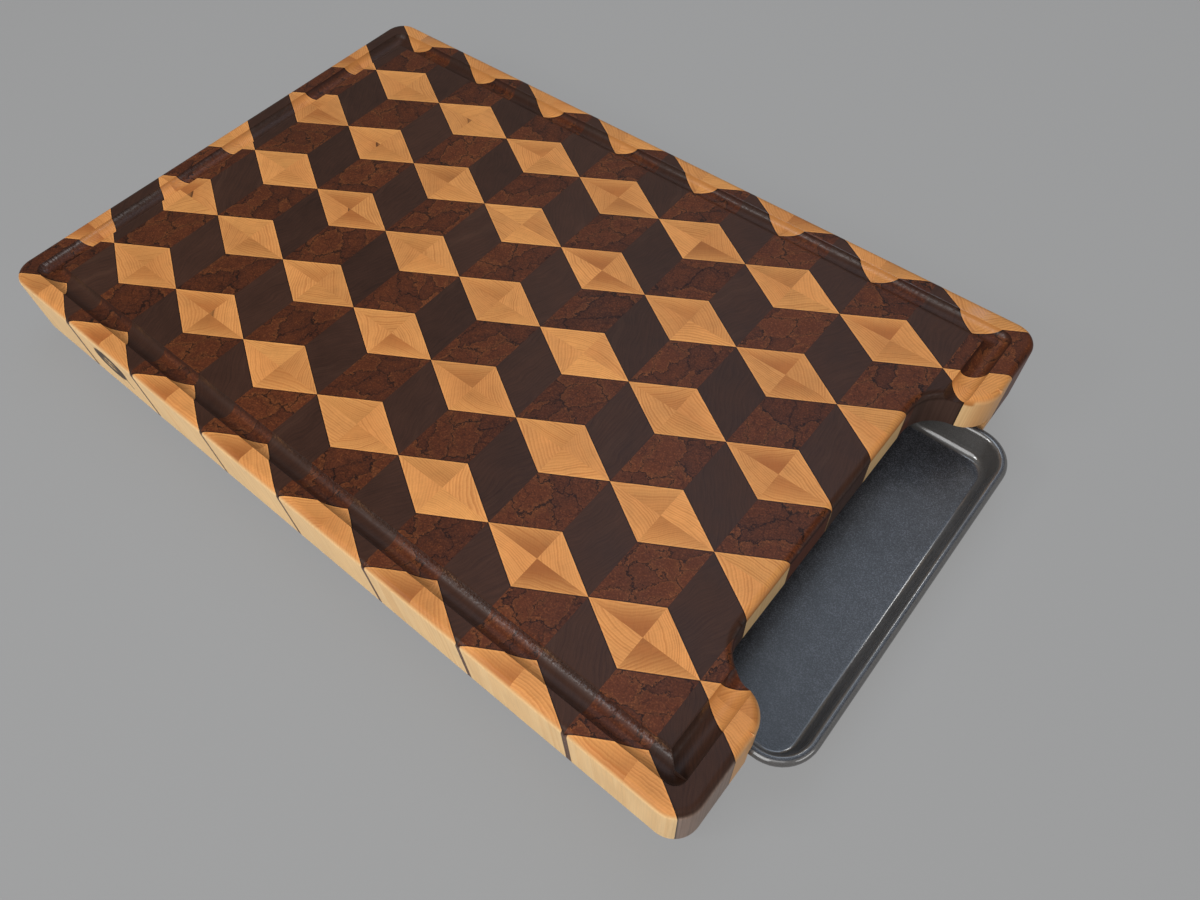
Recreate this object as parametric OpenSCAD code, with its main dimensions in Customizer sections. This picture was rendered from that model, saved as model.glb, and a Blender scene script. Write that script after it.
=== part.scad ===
// End-grain butcher block with a juice groove and a slide-out pan.
// The block is glued up from upright sticks. Each stick is one dark diamond and two
// pale wedges, so that the sticks together show tumbling cubes on the cutting face.
// A baking pan slides under the block on two runners, and a notch in the front end
// lets juice and scraps fall into it. All sizes are in millimetres. +X points out of
// the pan's end, +Z points up, and Z = 0 is the surface that the feet stand on.

/* [Block pattern] */
// Width of one stick, along the board's length
stick_w = 31.75; // [30:0.25:36]
// Sticks along the board's length
columns = 16; // [15:1:20]
// Rows of sticks across the board's width
rows = 6; // [6:2:8]
// Slope of the diamonds' slanted sides, in degrees
slant = 30; // [28:0.5:34]

/* [Board] */
// Thickness of the block
board_t = 44.5; // [40:0.5:60]
// Radius of the upright corners, seen from above
corner_r = 14; // [8:0.5:17]
// Radius of the rounded top and bottom edges
edge_r = 4; // [2:0.5:6]

/* [Juice groove] */
// Distance from the board's edge to the middle of the groove
groove_inset = 17.5; // [15:0.5:22]
// Radius of the groove's round bottom
groove_r = 6.5; // [5:0.25:8]
// Depth of the groove
groove_depth = 5.2; // [3:0.1:6.5]

/* [Notch] */
// How far the notch's inner wall lies behind the glue line of the front sticks
notch_past = 0.45; // [0.2:0.05:4]
// Rows of sticks whose front ends the notch takes off
notch_rows = 4; // [2:2:6]
// How far the middles of the notch's round shoulders lie outside those rows
notch_lap = 5; // [0:0.5:10]
// Radius of the hollow curves beside the inner wall
notch_hollow_r = 22; // [20:0.5:26]
// Radius of the round shoulders at the notch's mouth
notch_shoulder_r = 16.5; // [14:0.5:20]

/* [Pan] */
// Width of the pan over its rim
pan_w = 226.6; // [210:0.2:232]
// Length of the pan over its rim
pan_l = 330; // [280:1:360]
// Height of the pan
pan_h = 17.5; // [15:0.1:17.8]
// Corner radius of the pan's rim
pan_r = 22; // [20:0.5:30]
// Thickness of the pan's sheet
pan_t = 0.8; // [0.6:0.1:1.2]
// Outward lean of the pan's walls, in degrees
pan_draft = 10; // [4:0.5:12]
// Inside radius where the pan's walls meet its floor
pan_fillet = 5.25; // [2:0.25:6]
// Outer radius of the rolled rim
curl_r = 2.75; // [2.5:0.05:3]
// Thickness of the rolled rim
curl_t = 1; // [0.9:0.05:1.2]
// Play between the wire and the rolled rim around it
wire_play = 0.2; // [0.1:0.05:0.3]
// How far the pan stands out of the board's front end
pan_out = 23.4; // [10:0.2:40]

/* [Pan bay] */
// Wood left above the pan bay
roof_t = 23.8; // [20:0.2:26]
// Play between the pan's rim and each side wall of the bay
bay_side_gap = 2; // [1:0.1:3]
// Play behind the pan when it is pushed in flush
bay_end_gap = 1.5; // [1:0.1:6]
// Radius of the bay's back corners
bay_r = 12; // [6:0.5:18]

/* [Runners] */
// Thickness of the runners that carry the rim
runner_t = 8; // [6:0.1:10]
// Width of each runner that is let into the block beside the bay
runner_seat = 20; // [16:0.5:24]
// How far each runner reaches under the rim
runner_lip = 4; // [3:0.1:4.4]
// Gap between the runners' front ends and the front feet
runner_foot_gap = 3; // [1:0.5:20]
// Running gap between the rim and the runners
run_gap = 0.3; // [0.2:0.05:0.6]

/* [Feet] */
// Height of the rubber feet
foot_h = 10; // [9:0.5:20]
// Radius of a foot where it meets the block
foot_top_r = 11; // [10:0.25:12]
// Radius of a foot where it meets the table
foot_low_r = 9.5; // [9:0.25:10]
// Radius of the rounding on a foot's lower edge
foot_edge_r = 1.2; // [0.5:0.1:1.5]
// Which stick a foot stands under, counted from the board's end
foot_stick = 2; // [1:1:4]
// Radius of the pocket in a foot for its screw head
foot_pocket_r = 5.5; // [5.2:0.1:6]
// Rubber left above the pocket
foot_web = 4.5; // [3:0.1:5]
// Outer radius of the washers
washer_r = 5; // [4.6:0.1:5.1]
// Thickness of the washers
washer_t = 1; // [0.8:0.1:1.4]

/* [Screws] */
// Shank radius of the runner screws
pin_r = 1.75; // [1.5:0.05:2]
// Length of the runner screws
pin_l = 20; // [16:0.5:24]
// Head radius of the runner screws
pin_head_r = 3.6; // [3.2:0.1:4]
// Sticks from one runner screw to the next
pin_every = 2; // [1:1:3]
// Least distance from a runner screw to the runner's ends
pin_end = 12; // [8:1:20]
// Shank radius of the foot screws
bolt_r = 2; // [1.75:0.05:2.2]
// Length of the foot screws under their heads
bolt_l = 20; // [16:0.5:24]
// Head radius of the foot screws
bolt_head_r = 4; // [3.8:0.1:4.4]
// Head height of the foot screws
bolt_head_h = 2.4; // [2:0.1:2.8]
// Play around a screw's shank and head
screw_play = 0.1; // [0.05:0.05:0.2]
// Width of the cross in the screw heads
cross_w = 0.9; // [0.7:0.1:1.1]
// Depth of the cross in the screw heads
cross_d = 1.2; // [0.8:0.1:1.4]

/* [Hidden] */
$fn = 64;

// How far a cutting shape runs past the wood
over = 1;
// How far a screw's hole runs past its point
hole_spare = 1;
// Length of a screw's point, in shank radii
point_len = 2;
// Overlap that ties the pan's wall into its rolled rim
curl_lap = 0.1;
// Angles around the rolled rim, where its strip starts, crosses over and ends
curl_angles = [-110, 40, 196];
// Length of the cross in a screw head, and radius of a screw's tip, as shares of the radius
cross_share = 1.2;
tip_share = 0.2;

// Sticks and board
block_edge = stick_w / cos(slant);
wedge_rise = stick_w * tan(slant);
stick_l = block_edge + wedge_rise;
board_l = columns * stick_w;
board_w = rows * stick_l;
board_x = -pan_out / 2;
top_z = foot_h + board_t;

// Notch: a hollow arc meets a shoulder arc, and their centres lie on one line
notch_depth = stick_w + notch_past;
notch_x = board_l / 2 - notch_depth;
hollow_x = notch_x + notch_hollow_r;
shoulder_x = board_l / 2 - notch_shoulder_r;
shoulder_y = notch_rows / 2 * stick_l + notch_lap;
arc_dx = shoulder_x - hollow_x;
arc_dy = sqrt(pow(notch_hollow_r + notch_shoulder_r, 2) - arc_dx * arc_dx);
hollow_y = shoulder_y - arc_dy;
notch_flat = 2 * hollow_y;
arc_turn = atan2(arc_dy, arc_dx);

// Groove
groove_x = board_l / 2 - groove_inset;
groove_y = board_w / 2 - groove_inset;
groove_z = top_z - groove_depth + groove_r;

// Pan and its bay
rim_z = foot_h + runner_t + run_gap + 2 * curl_r;
pan_z = rim_z - pan_h;
pan_x = board_l / 2 + pan_out - pan_l / 2;
bay_y = pan_w / 2 + bay_side_gap;
bay_x = board_l / 2 - pan_l - bay_end_gap;
bay_z = top_z - roof_t;

// Section of the pan, from the middle of its corner: the wall leans out by pan_draft and
// meets the rolled rim on the rim's inner side
curl_mid = [pan_r - curl_r, pan_h - curl_r];
wall_up = [sin(pan_draft), cos(pan_draft)];
wall_in = [-cos(pan_draft), sin(pan_draft)];
wall_top = curl_mid + wall_in * (curl_r - curl_lap);
fillet_z = pan_t + pan_fillet;
fillet_x = wall_top.x + (sin(pan_draft) * (fillet_z - wall_top.y) - pan_fillet) / cos(pan_draft);
wall_low = [fillet_x, fillet_z] - wall_in * pan_fillet;
wall_len = (wall_top - wall_low) * wall_up;

// Feet and their screws, each under the middle of a stick's diamond
foot_x = board_l / 2 - (foot_stick - 0.5) * stick_w;
foot_y = (board_w - stick_l) / 2;
pocket_h = foot_h - foot_web;
bolt_z = pocket_h - washer_t;

// Runners and their screws, each under the middle of a stick
runner_in = pan_w / 2 - runner_lip;
runner_out = bay_y + runner_seat;
runner_back = bay_x + bay_r;
runner_front = foot_x - foot_top_r - runner_foot_gap;
runner_l = runner_front - runner_back;
pin_y = bay_y + runner_seat / 2;
pin_x = [
    for (c = [1 : pin_every : columns - 1])
        let (x = (c + 0.5) * stick_w - board_l / 2)
            if (x > runner_back + pin_end && x < runner_front - pin_end) x
];

walnut = [0.21, 0.15, 0.13];
sapele = [0.33, 0.16, 0.11];
maple = [0.80, 0.58, 0.34];
pale_maple = [0.85, 0.65, 0.41];
steel = [0.66, 0.67, 0.69];
rubber = [0.10, 0.10, 0.11];
pan_coat = [0.24, 0.25, 0.28];

// Low edge of a row: row 1 lies at +Y
function row_y(r) = board_w / 2 - r * stick_l;

// Walnut and sapele sticks alternate like the squares of a chessboard
function is_walnut(c, r) = (c + r) % 2 == 1;

// A stick's point, turned about for the sticks that lean the other way
function lean(p, falling) = falling ? [stick_w - p.x, p.y] : p;

diamond = [[0, 0], [stick_w, wedge_rise], [stick_w, stick_l], [0, block_edge]];
low_wedge = [[0, 0], [stick_w, 0], [stick_w, wedge_rise]];
high_wedge = [[0, block_edge], [stick_w, stick_l], [0, stick_l]];

// Moves a shape from the board's own middle to the part's origin
module on_board() {
    translate([board_x, 0, 0]) children();
}

// One row's upright pieces of the given outline, in the walnut or the sapele sticks
module row_pieces(r, outline, falling) {
    for (c = [0 : columns - 1])
        if (is_walnut(c, r) == falling)
            translate([c * stick_w - board_l / 2, row_y(r), foot_h])
                linear_extrude(height = board_t)
                    polygon([for (p = outline) lean(p, falling)]);
}

// What a rounding tool takes off an edge: the corner outside a quarter circle, at +X or at -X
module edge_profile(side) {
    reach = edge_r + over;
    difference() {
        translate([side > 0 ? 0 : -reach, 0]) square([reach, reach]);
        circle(r = edge_r);
    }
}

// Rounding along a straight edge, which faces +X and runs along Y
module edge_run(len) {
    translate([-edge_r, len / 2, -edge_r])
        rotate([90, 0, 0])
            linear_extrude(height = len)
                edge_profile(1);
}

// Rounding around a quarter or another part of a round corner
module edge_turn(r, from, turn) {
    rotate([0, 0, from])
        rotate_extrude(angle = turn)
            translate([r - edge_r, -edge_r])
                edge_profile(1);
}

// Rounding around the inside of a hollow curve
module edge_hollow(r, from, turn) {
    rotate([0, 0, from])
        rotate_extrude(angle = turn)
            translate([r + edge_r, -edge_r])
                edge_profile(-1);
}

// Rounding of the board's outer edge, at Z = 0, open at the notch
module rim_rounding() {
    stub = board_w / 2 - corner_r - shoulder_y;
    for (s = [-1, 1]) {
        translate([0, s * board_w / 2, 0])
            rotate([0, 0, s * 90])
                edge_run(board_l - 2 * corner_r);
        translate([board_l / 2, s * (shoulder_y + stub / 2), 0])
            edge_run(stub);
        translate([board_l / 2 - corner_r, s * (board_w / 2 - corner_r), 0])
            edge_turn(corner_r, s > 0 ? 0 : 270, 90);
        translate([corner_r - board_l / 2, s * (board_w / 2 - corner_r), 0])
            edge_turn(corner_r, s > 0 ? 90 : 180, 90);
    }
    translate([-board_l / 2, 0, 0])
        rotate([0, 0, 180])
            edge_run(board_w - 2 * corner_r);
}

// Rounding of the notch's upper edge: its inner wall, and the hollow and the shoulder at -Y
module notch_wall_rounding() {
    translate([notch_x, 0, top_z]) edge_run(notch_flat);
}

module notch_hollow_rounding() {
    translate([hollow_x, -hollow_y, top_z]) edge_hollow(notch_hollow_r, 180, 180 - arc_turn);
}

module notch_shoulder_rounding() {
    translate([shoulder_x, -shoulder_y, top_z]) edge_turn(notch_shoulder_r, 0, 180 - arc_turn);
}

// Waste outside the board's upright corners
module corner_waste() {
    for (sx = [-1, 1], sy = [-1, 1])
        translate([sx * (board_l / 2 - corner_r), sy * (board_w / 2 - corner_r), foot_h - over])
            rotate([0, 0, sx > 0 ? (sy > 0 ? 0 : 270) : (sy > 0 ? 90 : 180)])
                linear_extrude(height = board_t + 2 * over)
                    difference() {
                        square([corner_r + over, corner_r + over]);
                        circle(r = corner_r);
                    }
}

// Plan of one side of the notch, from its inner wall to the shoulder
module notch_side() {
    mouth = board_l / 2 + over;
    difference() {
        union() {
            translate([hollow_x, hollow_y]) circle(r = notch_hollow_r);
            polygon([
                [hollow_x, hollow_y],
                [shoulder_x, shoulder_y],
                [mouth, shoulder_y],
                [mouth, hollow_y]
            ]);
        }
        translate([shoulder_x, shoulder_y]) circle(r = notch_shoulder_r);
    }
}

module notch() {
    translate([0, 0, foot_h - over])
        linear_extrude(height = board_t + 2 * over) {
            translate([notch_x, -hollow_y]) square([notch_depth + over, notch_flat]);
            notch_side();
            mirror([0, 1]) notch_side();
        }
}

// Pocket under the board that takes the pan, round at its back corners
module bay() {
    translate([0, 0, foot_h - over])
        linear_extrude(height = bay_z - foot_h + over) {
            translate([bay_x + bay_r, -bay_y])
                square([board_l / 2 + over - bay_x - bay_r, 2 * bay_y]);
            translate([bay_x, bay_r - bay_y])
                square([bay_r + over, 2 * (bay_y - bay_r)]);
            for (s = [-1, 1])
                translate([bay_x + bay_r, s * (bay_y - bay_r)])
                    circle(r = bay_r);
        }
}

// Shallow seats for the runners
module runner_seats() {
    for (s = [-1, 1])
        translate([runner_back, s > 0 ? bay_y - over : -runner_out, foot_h - over])
            cube([runner_l, runner_seat + over, runner_t + over]);
}

// Straight run of the groove along +X, mitred at its ends towards -Y
module groove_run(len, from_mitre, to_mitre) {
    wide = groove_r + over;
    intersection() {
        rotate([0, 90, 0]) cylinder(r = groove_r, h = len);
        translate([0, 0, -wide])
            linear_extrude(height = 2 * wide)
                polygon([
                    [0, wide],
                    [0, 0],
                    [from_mitre ? wide : 0, -wide],
                    [len - (to_mitre ? wide : 0), -wide],
                    [len, 0],
                    [len, wide]
                ]);
    }
}

// Outer quarter of a groove corner, as a ball-nosed tool leaves it
module groove_corner() {
    wide = groove_r + over;
    intersection() {
        rotate([90, 0, 0]) sphere(r = groove_r);
        translate([0, 0, -wide]) cube([wide, wide, 2 * wide]);
    }
}

// Juice groove around the cutting face, open into the notch
module groove() {
    stub = groove_y - hollow_y;
    translate([0, 0, groove_z]) {
        translate([-groove_x, groove_y, 0]) groove_run(2 * groove_x, true, true);
        translate([groove_x, groove_y, 0]) groove_corner();
        translate([groove_x, groove_y, 0]) rotate([0, 0, 270]) groove_run(stub, true, false);
        translate([groove_x, -hollow_y, 0]) rotate([0, 0, 270]) groove_run(stub, false, true);
        translate([groove_x, -groove_y, 0]) rotate([0, 0, 270]) groove_corner();
        translate([groove_x, -groove_y, 0]) rotate([0, 0, 180]) groove_run(2 * groove_x, true, true);
        translate([-groove_x, -groove_y, 0]) rotate([0, 0, 180]) groove_corner();
        translate([-groove_x, -groove_y, 0]) rotate([0, 0, 90]) groove_run(2 * groove_y, true, true);
        translate([-groove_x, groove_y, 0]) rotate([0, 0, 90]) groove_corner();
    }
}

// Places of the runner screws and of the feet
module at_pins(s) {
    for (x = pin_x)
        translate([x, s * pin_y, foot_h]) children();
}

module at_feet() {
    for (sx = [-1, 1], sy = [-1, 1])
        translate([sx * foot_x, sy * foot_y, 0]) children();
}

// Holes in the block for every screw
module screw_holes() {
    for (s = [-1, 1])
        at_pins(s)
            cylinder(r = pin_r + screw_play, h = pin_l + hole_spare);
    at_feet()
        translate([0, 0, foot_h - over])
            cylinder(r = bolt_r + screw_play, h = bolt_z + bolt_l + hole_spare - foot_h + over);
}

// Shapes a row of sticks as a part of the finished board
module worked_row() {
    on_board()
        difference() {
            children();
            notch();
            bay();
            runner_seats();
            screw_holes();
            groove();
            corner_waste();
            translate([0, 0, top_z]) rim_rounding();
            notch_wall_rounding();
            notch_hollow_rounding();
            mirror([0, 1, 0]) notch_hollow_rounding();
            notch_shoulder_rounding();
            mirror([0, 1, 0]) notch_shoulder_rounding();
            translate([0, 0, foot_h]) mirror([0, 0, 1]) rim_rounding();
        }
}

module walnut_blocks(r) {
    color(walnut) worked_row() row_pieces(r, diamond, true);
}

module sapele_blocks(r) {
    color(sapele) worked_row() row_pieces(r, diamond, false);
}

// Maple wedges that fill up the walnut sticks
module walnut_wedges(r) {
    color(pale_maple)
        worked_row() {
            row_pieces(r, low_wedge, true);
            row_pieces(r, high_wedge, true);
        }
}

// Maple wedges that fill up the sapele sticks
module sapele_wedges(r) {
    color(maple)
        worked_row() {
            row_pieces(r, low_wedge, false);
            row_pieces(r, high_wedge, false);
        }
}

// Hardwood strip that carries one side of the pan's rim
module runner(s) {
    wide = runner_out - runner_in;
    color(maple)
        on_board()
            difference() {
                translate([runner_back, s > 0 ? runner_in : -runner_out, foot_h])
                    cube([runner_l, wide, runner_t]);
                at_pins(s) pin_clearance();
            }
}

// Countersunk hole for a runner screw
module pin_clearance() {
    sink = pin_head_r - pin_r;
    translate([0, 0, -over])
        cylinder(r = pin_r + screw_play, h = runner_t + 2 * over);
    cylinder(r1 = pin_head_r + screw_play, r2 = pin_r + screw_play, h = sink);
}

// Cross recess in a screw head that faces down
module cross_recess(head_r) {
    long = cross_share * head_r;
    for (turn = [0, 90])
        rotate([0, 0, turn])
            translate([-long / 2, -cross_w / 2, -over])
                cube([long, cross_w, cross_d + over]);
}

// Wood screw that points up, with its head's face at Z = 0
module pin_screw() {
    sink = pin_head_r - pin_r;
    point = point_len * pin_r;
    difference() {
        union() {
            cylinder(r1 = pin_head_r, r2 = pin_r, h = sink);
            translate([0, 0, sink]) cylinder(r = pin_r, h = pin_l - point - sink);
            translate([0, 0, pin_l - point]) cylinder(r1 = pin_r, r2 = tip_share * pin_r, h = point);
        }
        cross_recess(pin_head_r);
    }
}

module runner_screws() {
    color(steel)
        on_board()
            for (s = [-1, 1])
                at_pins(s) pin_screw();
}

// Turned rubber foot with a pocket for its washer and screw head
module foot(sx, sy) {
    color(rubber)
        on_board()
            translate([sx * foot_x, sy * foot_y, 0])
                difference() {
                    rotate_extrude() foot_profile();
                    translate([0, 0, -over]) cylinder(r = foot_pocket_r, h = pocket_h + over);
                    cylinder(r = bolt_r + screw_play, h = foot_h + over);
                }
}

module foot_profile() {
    square([foot_low_r - foot_edge_r, foot_h]);
    polygon([
        [0, foot_edge_r],
        [foot_low_r, foot_edge_r],
        [foot_top_r, foot_h],
        [0, foot_h]
    ]);
    translate([foot_low_r - foot_edge_r, foot_edge_r]) circle(r = foot_edge_r);
}

module foot_washers() {
    color(steel)
        on_board()
            at_feet()
                translate([0, 0, bolt_z])
                    difference() {
                        cylinder(r = washer_r, h = washer_t);
                        translate([0, 0, -over])
                            cylinder(r = bolt_r + screw_play, h = washer_t + 2 * over);
                    }
}

// Round-headed screw that points up, with its head's seat at Z = 0
module bolt_screw() {
    point = point_len * bolt_r;
    difference() {
        union() {
            translate([0, 0, -bolt_head_h]) cylinder(r = bolt_head_r, h = bolt_head_h);
            cylinder(r = bolt_r, h = bolt_l - point);
            translate([0, 0, bolt_l - point]) cylinder(r1 = bolt_r, r2 = tip_share * bolt_r, h = point);
        }
        translate([0, 0, -bolt_head_h]) cross_recess(bolt_head_r);
    }
}

module foot_screws() {
    color(steel)
        on_board()
            at_feet()
                translate([0, 0, bolt_z]) bolt_screw();
}

// Slice of a ring between two angles that are less than 180 degrees apart
module ring_slice(r_out, r_in, from, to) {
    far = 2 * r_out;
    mid = (from + to) / 2;
    intersection() {
        difference() {
            circle(r = r_out);
            circle(r = r_in);
        }
        polygon([
            [0, 0],
            far * [cos(from), sin(from)],
            far * [cos(mid), sin(mid)],
            far * [cos(to), sin(to)]
        ]);
    }
}

// Section of the pan, from the middle of its corner at X = 0 out to the rim
module pan_section() {
    square([fillet_x, pan_t]);
    translate([fillet_x, fillet_z])
        ring_slice(pan_fillet + pan_t, pan_fillet, -90, -pan_draft);
    translate(wall_low)
        rotate(-pan_draft)
            square([pan_t, wall_len]);
    translate(curl_mid)
        for (i = [0, 1])
            ring_slice(curl_r, curl_r - curl_t, curl_angles[i], curl_angles[i + 1]);
}

// Carries a section around a rounded rectangle of the pan's size
module around_pan() {
    side = pan_l / 2 - pan_r;
    end = pan_w / 2 - pan_r;
    for (s = [-1, 1]) {
        translate([side, s * end, 0])
            rotate([0, 0, s > 0 ? 0 : 270])
                rotate_extrude(angle = 90) children();
        translate([-side, s * end, 0])
            rotate([0, 0, s > 0 ? 90 : 180])
                rotate_extrude(angle = 90) children();
        translate([s * side, 0, 0])
            rotate([90, 0, s > 0 ? 0 : 180])
                linear_extrude(height = 2 * end, center = true) children();
        translate([0, s * end, 0])
            rotate([90, 0, s * 90])
                linear_extrude(height = 2 * side, center = true) children();
    }
}

module pan() {
    side = pan_l / 2 - pan_r;
    end = pan_w / 2 - pan_r;
    color(pan_coat)
        on_board()
            translate([pan_x, 0, pan_z]) {
                around_pan() pan_section();
                translate([-side, -end, 0]) cube([2 * side, 2 * end, pan_t]);
            }
}

// Steel wire inside the rolled rim
module rim_wire() {
    color(steel)
        on_board()
            translate([pan_x, 0, pan_z])
                around_pan()
                    translate(curl_mid)
                        circle(r = curl_r - curl_t - wire_play);
}

for (r = [1 : rows]) {
    walnut_blocks(r);
    sapele_blocks(r);
    walnut_wedges(r);
    sapele_wedges(r);
}
runner(1);  // runner_left
runner(-1);  // runner_right
runner_screws();
foot(1, 1);  // foot_front_left
foot(1, -1);  // foot_front_right
foot(-1, 1);  // foot_rear_left
foot(-1, -1);  // foot_rear_right
foot_washers();
foot_screws();
pan();
rim_wire();
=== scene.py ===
"""Looks of a butcher block cutting board with a slide-out pan.

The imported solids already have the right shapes, so each sub-assembly keeps its own and is dressed
here: end grain walnut, sapele and maple that follow the board's sticks, runners with long grain,
rubber feet, zinc screws and a dark nonstick pan. A studio holds the floor, the lamps and the
camera. Lengths in the materials are millimetres in the part's frame.
"""

import logging
import math
from dataclasses import dataclass
from enum import Enum
from typing import Any, ClassVar, Dict, List, Optional, Sequence, Tuple, Union

import bpy
import numpy as np
from mathutils import Matrix

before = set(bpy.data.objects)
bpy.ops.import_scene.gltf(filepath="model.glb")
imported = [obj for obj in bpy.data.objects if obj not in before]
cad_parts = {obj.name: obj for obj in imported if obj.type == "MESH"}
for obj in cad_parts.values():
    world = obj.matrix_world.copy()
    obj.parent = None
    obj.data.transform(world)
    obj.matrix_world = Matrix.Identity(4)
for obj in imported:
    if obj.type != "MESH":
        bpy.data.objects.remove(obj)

LOG = logging.getLogger("cutting_board")
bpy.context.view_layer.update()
MM = 1000.0

Colour = Tuple[float, float, float]
Span = Tuple[float, float]
Term = Union["Wire", float]


def srgb(red: int, green: int, blue: int) -> Colour:
    """Turn a display colour into the linear one that shaders take.

    Args:
        red, green, blue: Display values from 0 to 255.

    Returns:
        The linear colour.
    """
    shares = (value / 255.0 for value in (red, green, blue))
    return tuple(s / 12.92 if s <= 0.04045 else ((s + 0.055) / 1.055) ** 2.4 for s in shares)


class Wire:
    """One output of a node graph, on which sums are written as on a number."""

    def __init__(self, graph: "Graph", socket: bpy.types.NodeSocket) -> None:
        """Keep the graph and the socket.

        Args:
            graph: The graph that the socket belongs to.
            socket: An output socket of one of its nodes.
        """
        self.graph = graph
        self.socket = socket

    def __add__(self, other: Term) -> "Wire":
        """Sum of this and another term."""
        return self.graph.math("ADD", self, other)

    def __radd__(self, other: Term) -> "Wire":
        """Sum with a number on the left."""
        return self.graph.math("ADD", other, self)

    def __sub__(self, other: Term) -> "Wire":
        """Difference of this and another term."""
        return self.graph.math("SUBTRACT", self, other)

    def __rsub__(self, other: Term) -> "Wire":
        """Difference with a number on the left."""
        return self.graph.math("SUBTRACT", other, self)

    def __mul__(self, other: Term) -> "Wire":
        """Product of this and another term."""
        return self.graph.math("MULTIPLY", self, other)

    def __rmul__(self, other: Term) -> "Wire":
        """Product with a number on the left."""
        return self.graph.math("MULTIPLY", other, self)

    def __truediv__(self, other: Term) -> "Wire":
        """Quotient of this and another term."""
        return self.graph.math("DIVIDE", self, other)

    def __rtruediv__(self, other: Term) -> "Wire":
        """Quotient with a number on the left."""
        return self.graph.math("DIVIDE", other, self)

    def __abs__(self) -> "Wire":
        """Size of this without its sign."""
        return self.graph.math("ABSOLUTE", self)

    def __gt__(self, other: Term) -> "Wire":
        """1 where this is the greater, otherwise 0."""
        return self.graph.math("GREATER_THAN", self, other)

    def __lt__(self, other: Term) -> "Wire":
        """1 where this is the smaller, otherwise 0."""
        return self.graph.math("LESS_THAN", self, other)

    def floor(self) -> "Wire":
        """Whole number at or below this."""
        return self.graph.math("FLOOR", self)

    def frac(self) -> "Wire":
        """Part of this after the whole number."""
        return self.graph.math("FRACT", self)

    def sin(self) -> "Wire":
        """Sine of this in radians."""
        return self.graph.math("SINE", self)

    def least(self, other: Term) -> "Wire":
        """Smaller of this and another term."""
        return self.graph.math("MINIMUM", self, other)

    def step(self, low: float, high: float) -> "Wire":
        """Rise smoothly from 0 at one value to 1 at another.

        Args:
            low: Value at and below which the result is 0.
            high: Value at and above which the result is 1.

        Returns:
            The smoothed step.
        """
        ramp = self.graph.add(
            "ShaderNodeMapRange",
            {"interpolation_type": "SMOOTHSTEP", "clamp": True},
            {"Value": self, "From Min": low, "From Max": high},
        )
        return Wire(self.graph, ramp.outputs["Result"])

    def within(self, span: Span) -> "Wire":
        """Stretch this, which goes from 0 to 1, over a span."""
        return self * (span[1] - span[0]) + span[0]


Tint = Union[Wire, Colour]


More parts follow.
